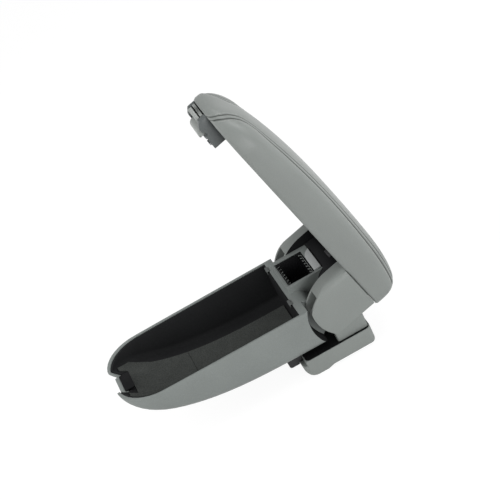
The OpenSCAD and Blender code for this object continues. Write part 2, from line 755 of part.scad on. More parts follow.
housing_top = lid_z - run_gap;
housing_low = lid_z - latch_drop;
housing_chin = 6.5;
housing_chin_z = 4.5;
housing_r = 2.5;
bolt_gap = 0.4;
channel_half = bolt_half_w + bolt_gap;
lug_in = 3.5;
lug_side_in = 10;
lug_front = nose_reach - lug_in;
lug_side_front = nose_reach - lug_side_in;
lug_low = striker_z + striker_t + bolt_gap;
lug_high = 6.8;
shank_front = striker_back - bolt_gap;
shank_t = 8;
shank_back = shank_front - shank_t;
shank_low = -5.4;
tooth_r = 6;
tooth_back_r = 1.5;
slide_top = 11.2;
slide_t = 3;
spring_room = 10;
spring_seat_x = shank_back - spring_room;
window_in = 12.5;
window_w = 5;
window_x0 = latch_front - window_in;
window_x1 = window_x0 - window_w;
window_top = 2.2;
coil_r = 2.6;
coil_wire_r = 0.45;
coil_turns = 5;
coil_z = 4;
latch_screw_in = 3;
latch_screw_x = latch_back + latch_screw_in;

module latch_housing() color(trim_grey) on_lid() difference() {
    intersection() {
        across(-latch_half_w, latch_half_w) polygon([
            [-latch_front, housing_top], [-latch_front, housing_chin_z],
            [-latch_front + housing_chin, housing_low + housing_r / 2], [-latch_back, housing_low],
            [-latch_back, housing_top]]);
        soft_block([-latch_front, -latch_half_w, housing_low], [-latch_back, latch_half_w, housing_top],
                   housing_r);
    }
    // Channel of the bolt, open to the front, below and above
    block([-latch_front - cut, -channel_half, housing_low - cut],
          [-spring_seat_x, channel_half, housing_top + cut]);
    // Notches in the lower edges of both side walls
    block([-window_x0, -side_y, housing_low - cut], [-window_x1, side_y, window_top]);
    for (y = [-channel_half / 2, channel_half / 2])
        translate([-latch_screw_x, y, housing_low - cut]) cylinder(r = screw_r + run_gap, h = side_y);
}

module latch_screws() color(steel) on_lid() for (y = [-channel_half / 2, channel_half / 2])
    translate([-latch_screw_x, y, housing_low]) {
        translate([0, 0, -screw_head_h - run_gap]) cylinder(r = screw_head_r, h = screw_head_h);
        translate([0, 0, -screw_head_h]) cylinder(r = screw_r, h = latch_drop + screw_head_h - 2 * run_gap);
    }

// Rubber buffers that meet the shelf behind the bin's rear wall
lid_buffer_r = 4;
lid_buffer_x = 50;
lid_buffer_y = 46;
lid_buffer_t = lid_z - rim_z - seat_gap;
module lid_buffers() color(rubber_black) on_lid() each_side()
    translate([-lid_buffer_x, lid_buffer_y, lid_z - lid_buffer_t - run_gap])
        cylinder(r = lid_buffer_r, h = lid_buffer_t);

// Coil behind the bolt, a thin helix swept as rings of a polygon
coil_sides = 6;
coil_ring_steps = 8;
coil_len = shank_back - spring_seat_x - 2 * coil_wire_r - 2 * run_gap;
module latch_spring() color(steel) on_lid() translate([-shank_back + coil_wire_r + run_gap, 0, coil_z])
    loft([for (i = [0:coil_turns * coil_ring_steps])
        let (turn = 360 * i / coil_ring_steps, x = coil_len * i / (coil_turns * coil_ring_steps))
        [for (k = [0:coil_sides - 1])
            let (a = -360 * k / coil_sides, rr = coil_r + coil_wire_r * cos(a))
            [x + coil_wire_r * sin(a), rr * cos(turn), rr * sin(turn)]]]);

// Finger piece in the notch, held by the bolt's shank behind it
button_r = 2;
module latch_button() color(light_grey) on_lid()
    translate([0, 0, lug_low]) linear_extrude(lug_high - lug_low) hull() {
        for (y = [-bolt_half_w + button_r, bolt_half_w - button_r]) {
            translate([-lug_side_front + button_r, y]) circle(button_r, $fn = 24);
            translate([-shank_front - seat_gap - button_r, y]) circle(button_r, $fn = 24);
        }
        translate([-lug_front + button_r, 0]) circle(button_r, $fn = 24);
    }

module latch_bolt() color(light_grey) on_lid() {
    // Slide plate under the panel, over the button and the shank
    block([-lug_side_front, -bolt_half_w, slide_top - slide_t], [-shank_back, bolt_half_w, slide_top]);
    // Shank with its rounded tooth
    across(-bolt_half_w + bolt_gap, bolt_half_w - bolt_gap) {
        polygon(concat([[-shank_front, slide_top - slide_t / 2]],
            arc(-shank_front + tooth_r, shank_low + tooth_r, tooth_r, 180, 270, 2 * arc_steps),
            arc(-shank_back - tooth_back_r, shank_low + tooth_back_r, tooth_back_r, 270, 360, arc_steps),
            [[-shank_back, slide_top - slide_t / 2]]));
    }
}
base_cover();
hinge_bracket();
pillar_cap_left();
pillar_cap_right();
pivot_axle();
axle_clips();
rest_buffer();
lid_springs();
bin_shell();
bin_liner();
bin_mat();
neck_comb();
neck_tab();
liner_clips();
striker_plate();
barrel_bushings();
friction_collar();
lid_pad();
lid_panel();
cheek_left();
cheek_right();
cheek_bushings();
cheek_screws();
latch_housing();
latch_screws();
lid_buffers();
latch_spring();
latch_button();
latch_bolt();
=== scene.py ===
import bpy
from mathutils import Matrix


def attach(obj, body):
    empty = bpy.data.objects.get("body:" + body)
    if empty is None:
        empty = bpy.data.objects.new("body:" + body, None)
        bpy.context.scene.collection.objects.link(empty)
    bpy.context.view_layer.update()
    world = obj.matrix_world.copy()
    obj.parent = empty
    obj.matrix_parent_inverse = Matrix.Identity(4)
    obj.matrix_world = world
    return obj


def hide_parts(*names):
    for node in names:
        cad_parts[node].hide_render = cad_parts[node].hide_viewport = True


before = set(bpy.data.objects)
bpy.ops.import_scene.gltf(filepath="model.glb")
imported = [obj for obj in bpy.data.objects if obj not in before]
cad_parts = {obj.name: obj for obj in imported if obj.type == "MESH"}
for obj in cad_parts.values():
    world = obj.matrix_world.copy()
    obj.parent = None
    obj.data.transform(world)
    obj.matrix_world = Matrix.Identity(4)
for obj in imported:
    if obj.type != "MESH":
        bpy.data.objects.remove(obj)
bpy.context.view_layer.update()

import math
import bpy
from mathutils import Matrix, Vector

# Camera: a long lens from the armrest's left side, above it, with the picture rolled.
# The angles come from a fit of the armrest's outline, with the lens aimed past the axle.
axle = Vector((0.038, 0, 0.066))
turn, lift, roll = math.radians(-4.226), math.radians(33.266), math.radians(26.76)
distance, aim_right, aim_up = 1.670, 0.08326, 0.01957
towards_lens = Vector((math.sin(turn) * math.cos(lift), -math.cos(turn) * math.cos(lift), math.sin(lift)))
level = Vector((math.cos(turn), math.sin(turn), 0))
upright = towards_lens.cross(level)
picture_right = level * math.cos(roll) - upright * math.sin(roll)
picture_up = level * math.sin(roll) + upright * math.cos(roll)
lens_data = bpy.data.cameras.new("camera")
lens_data.sensor_width = 36
lens_data.lens = 117.03
camera = bpy.data.objects.new("camera", lens_data)
bpy.context.scene.collection.objects.link(camera)
camera.matrix_world = Matrix.Translation(
    axle + towards_lens * distance - picture_right * aim_right + picture_up * aim_up
) @ Matrix((picture_right, picture_up, towards_lens)).transposed().to_4x4()
bpy.context.scene.camera = camera

# Studio: a pale seamless floor and three softboxes, on the near side, over the lid's back and ahead of the nose.
# The floor and the world look white to the lens, and the floor keeps a share of the shadow.
floor_white_share, floor_white_level, world_level = 0.82, 1.14, 0.34
bpy.context.scene.view_settings.view_transform = "Standard"
bpy.ops.object.select_all(action="DESELECT")
bpy.ops.mesh.primitive_plane_add(size=60, location=(0, 0, -0.0006))
floor = bpy.context.object
floor.name = "studio_floor"
floor_paint = bpy.data.materials.new("studio_floor_paint")
floor_paint.use_nodes = True
floor_nodes, floor_links = floor_paint.node_tree.nodes, floor_paint.node_tree.links
floor_nodes.clear()
floor_out = floor_nodes.new("ShaderNodeOutputMaterial")
floor_matte = floor_nodes.new("ShaderNodeBsdfDiffuse")
floor_matte.inputs["Color"].default_value = (0.62, 0.62, 0.62, 1)
floor_white = floor_nodes.new("ShaderNodeEmission")
floor_rays = floor_nodes.new("ShaderNodeLightPath")
floor_direct = floor_nodes.new("ShaderNodeMath")
floor_direct.operation = "MAXIMUM"
floor_seen = floor_nodes.new("ShaderNodeMath")
floor_seen.operation = "MAXIMUM"
floor_share = floor_nodes.new("ShaderNodeMath")
floor_share.operation = "MULTIPLY"
floor_share.inputs[1].default_value = floor_white_share
floor_mix = floor_nodes.new("ShaderNodeMixShader")
floor_links.new(floor_rays.outputs["Is Camera Ray"], floor_direct.inputs[0])
floor_links.new(floor_rays.outputs["Is Glossy Ray"], floor_direct.inputs[1])
floor_links.new(floor_direct.outputs[0], floor_seen.inputs[0])
floor_links.new(floor_rays.outputs["Is Transmission Ray"], floor_seen.inputs[1])
floor_links.new(floor_seen.outputs[0], floor_share.inputs[0])
floor_links.new(floor_share.outputs[0], floor_mix.inputs[0])
floor_links.new(floor_matte.outputs[0], floor_mix.inputs[1])
floor_links.new(floor_white.outputs[0], floor_mix.inputs[2])
floor_links.new(floor_mix.outputs[0], floor_out.inputs[0])
floor_white.inputs["Strength"].default_value = floor_white_level
floor.data.materials.append(floor_paint)

studio = bpy.data.worlds.new("studio")
bpy.context.scene.world = studio
studio.use_nodes = True
sky_nodes, sky_links = studio.node_tree.nodes, studio.node_tree.links
sky_nodes.clear()
sky_out = sky_nodes.new("ShaderNodeOutputWorld")
sky_soft = sky_nodes.new("ShaderNodeBackground")
sky_soft.inputs["Color"].default_value = (1, 1, 1, 1)
sky_soft.inputs["Strength"].default_value = world_level
sky_white = sky_nodes.new("ShaderNodeBackground")
sky_white.inputs["Color"].default_value = (1, 1, 1, 1)
sky_rays = sky_nodes.new("ShaderNodeLightPath")
sky_mix = sky_nodes.new("ShaderNodeMixShader")
sky_links.new(sky_rays.outputs["Is Camera Ray"], sky_mix.inputs[0])
sky_links.new(sky_soft.outputs[0], sky_mix.inputs[1])
sky_links.new(sky_white.outputs[0], sky_mix.inputs[2])
sky_links.new(sky_mix.outputs[0], sky_out.inputs[0])

lit_point = Vector((-0.05, 0, 0.12))
for lamp_name, place, size, watts in (
        ("side_softbox", (0.45, -1.40, 0.35), 0.9, 10.5),
        ("overhead_softbox", (0.80, 0.10, 1.10), 0.8, 8.5),
        ("front_softbox", (-0.95, -0.10, 0.80), 0.6, 6.0)):
    lamp_data = bpy.data.lights.new(lamp_name, "AREA")
    lamp_data.size = size
    lamp_data.energy = watts
    lamp = bpy.data.objects.new(lamp_name, lamp_data)
    bpy.context.scene.collection.objects.link(lamp)
    lamp.location = place
    lamp.rotation_euler = (lit_point - lamp.location).to_track_quat("-Z", "Y").to_euler()

# Base cover: injection moulded foot of grained grey plastic, set down over the steel bracket.
# Its sunk top inside a fine raised lip is painted black as painted shade, for the shadow under the bin and the
# cheeks, and its lower front edge is rounded.
def noise_between(nodes, links, scale, detail, low, high, place):
    """A noise pattern at a scale, spread from low to high."""
    noise = nodes.new("ShaderNodeTexNoise")
    noise.inputs["Scale"].default_value = scale
    noise.inputs["Detail"].default_value = detail
    spread = nodes.new("ShaderNodeMapRange")
    spread.inputs["From Min"].default_value = 0.3
    spread.inputs["From Max"].default_value = 0.7
    spread.inputs["To Min"].default_value = low
    spread.inputs["To Max"].default_value = high
    links.new(place, noise.inputs["Vector"])
    links.new(noise.outputs["Fac"], spread.inputs["Value"])
    return spread.outputs["Result"]

# Moulding grain, shared by every plastic: fine pits in the tool's surface, and a slow drift of tone
grain = bpy.data.node_groups.new("moulding_grain", "ShaderNodeTree")
for socket, kind, way in (("Place", "NodeSocketVector", "INPUT"), ("Colour", "NodeSocketColor", "INPUT"),
                          ("Grain Scale", "NodeSocketFloat", "INPUT"), ("Drift", "NodeSocketFloat", "INPUT"),
                          ("Roughness", "NodeSocketFloat", "INPUT"),
                          ("Colour", "NodeSocketColor", "OUTPUT"), ("Roughness", "NodeSocketFloat", "OUTPUT"),
                          ("Height", "NodeSocketFloat", "OUTPUT")):
    grain.interface.new_socket(name=socket, in_out=way, socket_type=kind)
gn, gl = grain.nodes, grain.links
grain_in, grain_out = gn.new("NodeGroupInput"), gn.new("NodeGroupOutput")
pits = gn.new("ShaderNodeTexVoronoi")
pits.feature = "SMOOTH_F1"
gl.new(grain_in.outputs["Place"], pits.inputs["Vector"])
gl.new(grain_in.outputs["Grain Scale"], pits.inputs["Scale"])
ripple = gn.new("ShaderNodeTexNoise")
ripple.inputs["Detail"].default_value = 4
gl.new(grain_in.outputs["Place"], ripple.inputs["Vector"])
gl.new(grain_in.outputs["Grain Scale"], ripple.inputs["Scale"])
grain_sum = gn.new("ShaderNodeMath")
grain_sum.operation = "ADD"
gl.new(pits.outputs["Distance"], grain_sum.inputs[0])
gl.new(ripple.outputs["Fac"], grain_sum.inputs[1])
gl.new(grain_sum.outputs[0], grain_out.inputs["Height"])
drift_tone = noise_between(gn, gl, 14, 5, -0.5, 0.5, grain_in.outputs["Place"])
speck_tone = noise_between(gn, gl, 900, 2, -0.35, 0.35, grain_in.outputs["Place"])
tone = gn.new("ShaderNodeMath")
tone.operation = "ADD"
gl.new(drift_tone, tone.inputs[0])
gl.new(speck_tone, tone.inputs[1])
tone_amount = gn.new("ShaderNodeMath")
tone_amount.operation = "MULTIPLY_ADD"
tone_amount.inputs[2].default_value = 1
gl.new(tone.outputs[0], tone_amount.inputs[0])
gl.new(grain_in.outputs["Drift"], tone_amount.inputs[1])
tinted = gn.new("ShaderNodeVectorMath")
tinted.operation = "SCALE"
gl.new(grain_in.outputs["Colour"], tinted.inputs[0])
gl.new(tone_amount.outputs[0], tinted.inputs["Scale"])
gl.new(tinted.outputs[0], grain_out.inputs["Colour"])
worn = noise_between(gn, gl, 22, 6, -0.06, 0.06, grain_in.outputs["Place"])
rough_sum = gn.new("ShaderNodeMath")
rough_sum.operation = "ADD"
gl.new(worn, rough_sum.inputs[0])
gl.new(grain_in.outputs["Roughness"], rough_sum.inputs[1])
gl.new(rough_sum.outputs[0], grain_out.inputs["Roughness"])


def plastic(name, colour, roughness, grain_scale, grain_depth, drift, specular=0.5):
    """Moulded plastic with its own colour, gloss and grain."""
    paint = bpy.data.materials.new(name)
    paint.use_nodes = True
    nodes, links = paint.node_tree.nodes, paint.node_tree.links
    shader = nodes["Principled BSDF"]
    shader.inputs["Specular IOR Level"].default_value = specular
    place = nodes.new("ShaderNodeTexCoord")
    pattern = nodes.new("ShaderNodeGroup")
    pattern.node_tree = grain
    pattern.inputs["Colour"].default_value = (*colour, 1)
    pattern.inputs["Grain Scale"].default_value = grain_scale
    pattern.inputs["Drift"].default_value = drift
    pattern.inputs["Roughness"].default_value = roughness
    bump = nodes.new("ShaderNodeBump")
    bump.inputs["Strength"].default_value = 0.35
    bump.inputs["Distance"].default_value = grain_depth
    links.new(place.outputs["Object"], pattern.inputs["Place"])
    links.new(pattern.outputs["Colour"], shader.inputs["Base Color"])
    links.new(pattern.outputs["Roughness"], shader.inputs["Roughness"])
    links.new(pattern.outputs["Height"], bump.inputs["Height"])
    links.new(bump.outputs["Normal"], shader.inputs["Normal"])
    return paint


trim_grey = plastic("trim_grey_plastic", (0.255, 0.275, 0.262), 0.48, 1500, 0.00012, 0.09)


def moulding(node, body, paint, edge, steps=2, joined=True, clamped=False):
    """A moulded copy of a CAD node with its edges rounded, in the node's place."""
    sharp = math.radians(32)
    bpy.ops.object.select_all(action="DESELECT")
    piece = bpy.data.objects.new(node + "_moulding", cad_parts[node].data.copy())
    bpy.context.scene.collection.objects.link(piece)
    bpy.context.view_layer.objects.active = piece
    piece.select_set(True)
    bpy.ops.object.mode_set(mode="EDIT")
    bpy.ops.mesh.select_all(action="SELECT")
    bpy.ops.mesh.remove_doubles(threshold=0.000004)
    if joined:
        bpy.ops.mesh.dissolve_limited(angle_limit=math.radians(0.6))
    bpy.ops.object.mode_set(mode="OBJECT")
    if edge:
        rounding = piece.modifiers.new("edges", "BEVEL")
        rounding.width = edge
        rounding.segments = steps
        rounding.limit_method = "ANGLE"
        rounding.angle_limit = sharp
        rounding.use_clamp_overlap = clamped
        rounding.miter_outer = "MITER_ARC"
        bpy.ops.object.modifier_apply(modifier="edges")
    bpy.ops.object.shade_smooth_by_angle(angle=sharp)
    if not joined:
        level = piece.modifiers.new("flat_sides", "WEIGHTED_NORMAL")
        level.keep_sharp = True
        bpy.ops.object.modifier_apply(modifier="flat_sides")
    piece.data.materials.clear()
    piece.data.materials.append(paint)
    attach(piece, body)
    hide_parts(node)
    return piece


foot = moulding("base_cover", "base", trim_grey, 0.0004, joined=False)
foot_painted_shade = plastic("foot_painted_shade_black", (0.011, 0.0115, 0.012), 0.5, 1300, 0.00012, 0.2, 0.15)
foot.data.materials.append(foot_painted_shade)
# Painted shade: the flat faces of the sunk top get the black, for the shadow that falls there.
sunk_top_z, sunk_top_band, sunk_top_facing = -0.0462, 0.0004, 0.9
for face in foot.data.polygons:
    if face.normal.z > sunk_top_facing and abs(face.center.z - axle.z - sunk_top_z) < sunk_top_band:
        face.material_index = 1

# Hinge bracket: folded sheet steel, zinc plated, bolted to the car under the foot.
# Its two ears stand up through the foot and carry the axle.
def metal(name, colour, roughness, streak_scale, spread):
    """Plated or drawn steel, with fine streaks and a slow drift of gloss."""
    paint = bpy.data.materials.new(name)
    paint.use_nodes = True
    nodes, links = paint.node_tree.nodes, paint.node_tree.links
    shader = nodes["Principled BSDF"]
    shader.inputs["Metallic"].default_value = 1
    place = nodes.new("ShaderNodeTexCoord")
    stretch = nodes.new("ShaderNodeMapping")
    stretch.inputs["Scale"].default_value = streak_scale
    links.new(place.outputs["Object"], stretch.inputs["Vector"])
    streaks = noise_between(nodes, links, 40, 6, roughness - spread, roughness + spread,
                            stretch.outputs["Vector"])
    links.new(streaks, shader.inputs["Roughness"])
    cloud = noise_between(nodes, links, 60, 4, 0, 1, place.outputs["Object"])
    blend = nodes.new("ShaderNodeMix")
    blend.data_type = "RGBA"
    blend.inputs["A"].default_value = (*[c * 0.82 for c in colour], 1)
    blend.inputs["B"].default_value = (*colour, 1)
    links.new(cloud, blend.inputs["Factor"])
    links.new(blend.outputs["Result"], shader.inputs["Base Color"])
    bump = nodes.new("ShaderNodeBump")
    bump.inputs["Strength"].default_value = 0.15
    bump.inputs["Distance"].default_value = 0.00008
    links.new(streaks, bump.inputs["Height"])
    links.new(bump.outputs["Normal"], shader.inputs["Normal"])
    return paint


zinc = metal("zinc_plated_steel", (0.44, 0.45, 0.46), 0.36, (1, 1, 14), 0.08)
moulding("hinge_bracket", "base", zinc, 0.0005)

# Pillar caps: two small grey mouldings, seated on the foot round the bracket's ears.
# Each covers the slot that its ear comes up through.
for cap_name in ("pillar_cap_left", "pillar_cap_right"):
    moulding(cap_name, "base", trim_grey, 0.0006, joined=False)

# Pivot axle: a drawn steel tube through the ears, the cheeks and the barrel.
# It is cut to length, and its bore is left open.
drawn_steel = metal("drawn_steel_tube", (0.55, 0.56, 0.57), 0.24, (1, 18, 1), 0.06)
spring_steel = metal("bright_spring_steel", (0.34, 0.35, 0.36), 0.3, (4, 4, 4), 0.06)
moulding("pivot_axle", "base", drawn_steel, 0.0003)

# Axle clips: flat retaining rings of spring steel, one on each end of the axle.
# They sit outside the ears and keep it in place.
moulding("axle_clips", "base", spring_steel, 0.0002)


# Lid springs: two torsion springs of round steel wire, coiled round the axle beside the ears.
# They are drawn as closed turns and keep the mesh of their CAD node.
def refinished(node, paint):
    """A CAD node that keeps its mesh and gets its finish."""
    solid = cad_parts[node]
    solid.data.materials.clear()
    solid.data.materials.append(paint)


refinished("lid_springs", spring_steel)

# Rest buffer: a moulded rubber block, seated on the foot's front step and hanging over its front.
# The bin's floor comes to rest on it when the armrest is down.
rubber = plastic("black_rubber", (0.022, 0.022, 0.023), 0.72, 1100, 0.0002, 0.25)
moulding("rest_buffer", "base", rubber, 0.0004)

# Bin shell: one large moulding, a boat shaped tub with its heel, barrel, shelf and raised neck.
# The nose has a notch for the latch, and the rim's edge is rounded.
# The barrel, the neck's pocket and the heel's hollow are painted black as painted shade for these recesses; their
# areas are in metres from the axle.
bin_grey = plastic("bin_grey_plastic", (0.234, 0.256, 0.246), 0.5, 1500, 0.00012, 0.16)
liner_black_and_painted_shade = plastic("liner_black_plastic_and_painted_shade", (0.021, 0.0217, 0.0226), 0.6, 1300, 0.00015, 0.3, 0.06)
pocket_painted_shade = plastic("pocket_painted_shade_black", (0.012, 0.0125, 0.0135), 0.26, 1500, 0.00005, 0.2, 0.8)
shell = moulding("bin_shell", "bin", bin_grey, 0.0005)
shell.data.materials.append(liner_black_and_painted_shade)
shell.data.materials.append(pocket_painted_shade)
barrel_reach, barrel_front, barrel_low, barrel_half = 0.0199, -0.0195, -0.006, 0.0378
pocket_low, pocket_high = (-0.0493, -0.0133, -0.014), (-0.0172, 0.0315, 0.0166)
heel_r, heel_drop, heel_band, heel_facing = 0.050, 0.010, 0.0007, 0.15
# Painted shade: faces in these three areas get black in place of the shell's grey.
for face in shell.data.polygons:
    across = face.center.x - axle.x
    above = face.center.z - axle.z
    in_pocket = all(low < at < high for low, at, high in
                    zip(pocket_low, (across, face.center.y, above), pocket_high))
    if (math.hypot(across, above) < barrel_reach and across > barrel_front and above > barrel_low
            and abs(face.center.y) < barrel_half):
        face.material_index = 1
    if in_pocket:
        face.material_index = 2
    if (abs(math.hypot(across, above + heel_drop) - heel_r) < heel_band
            and face.center.x < axle.x and face.normal.x > heel_facing):
        face.material_index = 1

# Liner: a thin black moulding dropped into the tub, matt and finely grained.
# The clips over its rear edge hold it down.
moulding("bin_liner", "bin", liner_black_and_painted_shade, 0.0003, clamped=True)

# Mat: felt in two pieces, laid on the liner's floor and cut out round the latch.
# Its nap is short and slightly mottled, and a paler band round the edge of its top is a painted highlight.
felt = bpy.data.materials.new("dark_felt")
felt.use_nodes = True
fn, fl = felt.node_tree.nodes, felt.node_tree.links
felt_shader = fn["Principled BSDF"]
felt_place = fn.new("ShaderNodeTexCoord")
fibres = noise_between(fn, fl, 700, 8, 0, 1, felt_place.outputs["Object"])
mottle = noise_between(fn, fl, 60, 4, 0, 1, felt_place.outputs["Object"])
felt_sum = fn.new("ShaderNodeMath")
felt_sum.operation = "MULTIPLY_ADD"
felt_sum.inputs[1].default_value = 0.35
fl.new(mottle, felt_sum.inputs[0])
fl.new(fibres, felt_sum.inputs[2])
felt_blend = fn.new("ShaderNodeMix")
felt_blend.data_type = "RGBA"
felt_blend.inputs["A"].default_value = (0.041, 0.0445, 0.042, 1)
felt_blend.inputs["B"].default_value = (0.076, 0.082, 0.077, 1)
fl.new(felt_sum.outputs[0], felt_blend.inputs["Factor"])
fl.new(felt_blend.outputs["Result"], felt_shader.inputs["Base Color"])
felt_shader.inputs["Roughness"].default_value = 0.95
felt_shader.inputs["Sheen Weight"].default_value = 0.08
felt_shader.inputs["Specular IOR Level"].default_value = 0.1
felt_shader.inputs["Sheen Roughness"].default_value = 0.5
felt_bump = fn.new("ShaderNodeBump")
felt_bump.inputs["Strength"].default_value = 0.6
felt_bump.inputs["Distance"].default_value = 0.0004
fl.new(fibres, felt_bump.inputs["Height"])
fl.new(felt_bump.outputs["Normal"], felt_shader.inputs["Normal"])
mat = moulding("bin_mat", "bin", felt, 0)
felt_edge_highlight = plastic("felt_painted_edge_highlight", (0.34, 0.35, 0.34), 0.9, 900, 0.0003, 0.3, 0.1)
mat.data.materials.append(felt_edge_highlight)
# Painted highlight: a paler band is inset round the edge of the mat's top faces.
mat_top_facing, highlight_band_w = 0.8, 0.0012
for face in mat.data.polygons:
    face.select = face.normal.z > mat_top_facing
bpy.ops.object.mode_set(mode="EDIT")
bpy.ops.mesh.select_mode(type="FACE")
bpy.ops.mesh.inset(thickness=highlight_band_w, use_even_offset=True)
bpy.ops.object.mode_set(mode="OBJECT")
for face in mat.data.polygons:
    if face.normal.z > mat_top_facing and not face.select:
        face.material_index = 1

# Neck insert: a black moulding in the neck's pocket, with comb teeth along its front and rear.
# The tops of its ribs are given the trim's lighter grey as a painted highlight.
comb_black = plastic("comb_black_plastic", (0.0065, 0.0068, 0.0075), 0.4, 1300, 0.0001, 0.2, 0.2)
comb = moulding("neck_comb", "bin", comb_black, 0.0004)
comb.data.materials.append(trim_grey)
# Painted highlight: small upward faces at the tops of the ribs get the lighter grey.
rib_top_z, rib_top_area, rib_top_facing = 0.0136, 0.000006, 0.3
for face in comb.data.polygons:
    if face.normal.z > rib_top_facing and face.center.z - axle.z > rib_top_z and face.area < rib_top_area:
        face.material_index = 1

# Neck tab: a flat light grey plate behind the pocket.
# It is moulded on its own and lies on the neck's top.
light_grey = plastic("light_grey_plastic", (0.50, 0.52, 0.515), 0.42, 1500, 0.0001, 0.08)
moulding("neck_tab", "bin", light_grey, 0.0004)

# Liner clips: two small moulded hooks over the liner's rear edge.
# They hold it down at the shell's rear wall.
clip_grey = plastic("clip_grey_plastic", (0.13, 0.14, 0.136), 0.5, 1500, 0.0001, 0.1)
moulding("liner_clips", "bin", clip_grey, 0.0002)

# Striker plate: a small black plate in the notch of the nose, seated on the notch's ledge.
# The tooth of the latch's bolt catches under it.
moulding("striker_plate", "bin", comb_black, 0.0003)

# Barrel bushings: two plain nylon rings, pressed into the ends of the shell's barrel.
# The bin turns on the axle through them.
nylon = plastic("natural_nylon", (0.72, 0.71, 0.65), 0.38, 800, 0.00006, 0.06)
moulding("barrel_bushings", "bin", nylon, 0.0002)

# Cheek bushings: two flanged rings of the same nylon, pressed into the hinge arms of the cheeks.
# The lid turns on the axle through them.
moulding("cheek_bushings", "lid", nylon, 0.0002)

# Friction collar: a split ring of spring steel in the barrel, between its bushings.
# It grips the axle, so that the armrest stays where it is put.
moulding("friction_collar", "bin", spring_steel, 0.0002)

# Lid panel: the moulded inner panel that the cover is folded round.
# The hinge bay is sunk in its rear end, and a shallow field ahead of that.
# The panel takes the liner's black as painted shade, for the dark cavity under the lid between the cheeks.
moulding("lid_panel", "lid", liner_black_and_painted_shade, 0.0005)

# Cheeks: two open bottomed side covers under the lid, whose hinge arms turn on the axle.
# Their inner faces, against the neck, are painted black as painted shade for the dark gap between the cheeks and the
# neck.
cheek_inner_y = 0.0384
for cheek_name in ("cheek_left", "cheek_right"):
    cheek = moulding(cheek_name, "lid", trim_grey, 0.0009, 3, clamped=True)
    cheek.data.materials.append(liner_black_and_painted_shade)
    # Painted shade: the faces that look towards the middle get the liner's black.
    for face in cheek.data.polygons:
        if abs(face.center.y) < cheek_inner_y and face.normal.y * face.center.y < 0:
            face.material_index = 1

# Cheek screws: four bright steel screws with flat round heads.
# They go up through the cheeks' flanges and hold them in the hinge bay.
moulding("cheek_screws", "lid", spring_steel, 0.0003)

# Latch housing: a moulding under the lid's nose, in the trim's grey darkened as painted shade.
# The button and the bolt slide in it.
# Painted shade: this grey is darker than the trim's, for the shade under the lid's nose.
housing_shaded_grey = plastic("housing_painted_shade_grey", (0.115, 0.128, 0.128), 0.4, 1500, 0.0001, 0.1)
moulding("latch_housing", "lid", housing_shaded_grey, 0.0005)

# Latch screws: two steel screws up through the rear of the housing.
# They hold it to the lid's inner panel.
moulding("latch_screws", "lid", spring_steel, 0.0003)

# Lid buffers: two rubber studs under the inner panel.
# Through them the closed lid rests on the shelf behind the bin's rear wall.
moulding("lid_buffers", "lid", rubber, 0.0004)

# Latch spring: a small coil of steel wire behind the bolt.
# It keeps the mesh of its CAD node.
refinished("latch_spring", spring_steel)

# Latch button: the light grey finger piece in the lid's nose.
# It is moulded in one colour and held by the bolt's shank behind it.
latch_grey = plastic("latch_grey_plastic", (0.36, 0.38, 0.365), 0.42, 1500, 0.0001, 0.08)
moulding("latch_button", "latch", latch_grey, 0.0006, 3)

# Latch bolt: a slide plate over the button, with a shank and a rounded tooth behind it.
# It is moulded of the button's plastic.
moulding("latch_bolt", "latch", latch_grey, 0.0005, joined=False)

# Lid pad: foam under a cover of soft grey leather, sewn from two side bands and a top panel.
# A raised rib between two sewn grooves runs along each shoulder and over the nose,
# and the cover's edge is folded under the lid and clamped by the inner panel.
mm = 0.001
open_turn = math.radians(75.6)
pad_reach, pad_back, pad_low, pad_high = 245.5, 32.7, 12.8, 40.7
pad_half_w, pad_taper, pad_tip, pad_nose, pad_end = 58, 8.3, 3, 48, 50
pad_front_share, pad_back_share, pad_section = 0.18, 0.79, 0.49
pad_crown_x, pad_crown_drop, pad_crown_power = 55, 22.2, 2.5
pad_foot, pad_end_r, pad_end_in, pad_roll = 2, 14, 4, 6
pad_len = pad_reach + pad_back
# The recess for the inner panel and the hinge bay, in the underside
tuck, recess_z, bay_z = 6, 15.7, 30.9
bay_narrow, bay_narrow_front, bay_wide, bay_wide_front, bay_end = 40.9, -64.9, 53.4, -29.8, 29.9
# Places of the lower groove: along the lid, and round the section from the crown
seam_places = ((-245.5, 40), (-236, 35.5), (-228, 30.5), (-216, 27), (-204.5, 30.5), (-190, 35.5), (-175, 38.3),
               (-146, 41), (-102, 43), (-59, 45.5), (-25, 48.5), (-5, 50.5), (32.7, 53))
rib_w, rib_high = 7.5, 0.35
valley_depth, valley_w = 1.5, 10
lower_depth, lower_w, upper_depth, upper_w = 1.0, 1.2, 0.9, 1.1
stitch_pitch, stitch_share, stitch_off = 4.6, 0.74, 3.2
# Millimetres for one unit of the seam map
map_unit = 100


def rounding_share(run_in, run, power=2):
    """From 0 at a tip to 1 where its rounding ends."""
    return 1 if run_in >= run else (1 - (1 - max(run_in, 0) / run) ** power) ** (1 / power)


def pad_plan(x):
    ahead = x + pad_reach
    straight = pad_half_w - pad_taper * (1 - ahead / pad_len) ** 2
    return (pad_tip + (straight - pad_tip) * rounding_share(ahead, pad_nose)
            - pad_end_in * (1 - rounding_share(pad_back - x, pad_end_r)))


def pad_top(x):
    crown = pad_high - pad_crown_drop * (abs(x + pad_crown_x) / (pad_reach - pad_crown_x)) ** pad_crown_power
    front = pad_front_share + (1 - pad_front_share) * rounding_share(x + pad_reach, pad_nose)
    back = pad_back_share + (1 - pad_back_share) * rounding_share(pad_back - x, pad_end)
    return crown * front * back


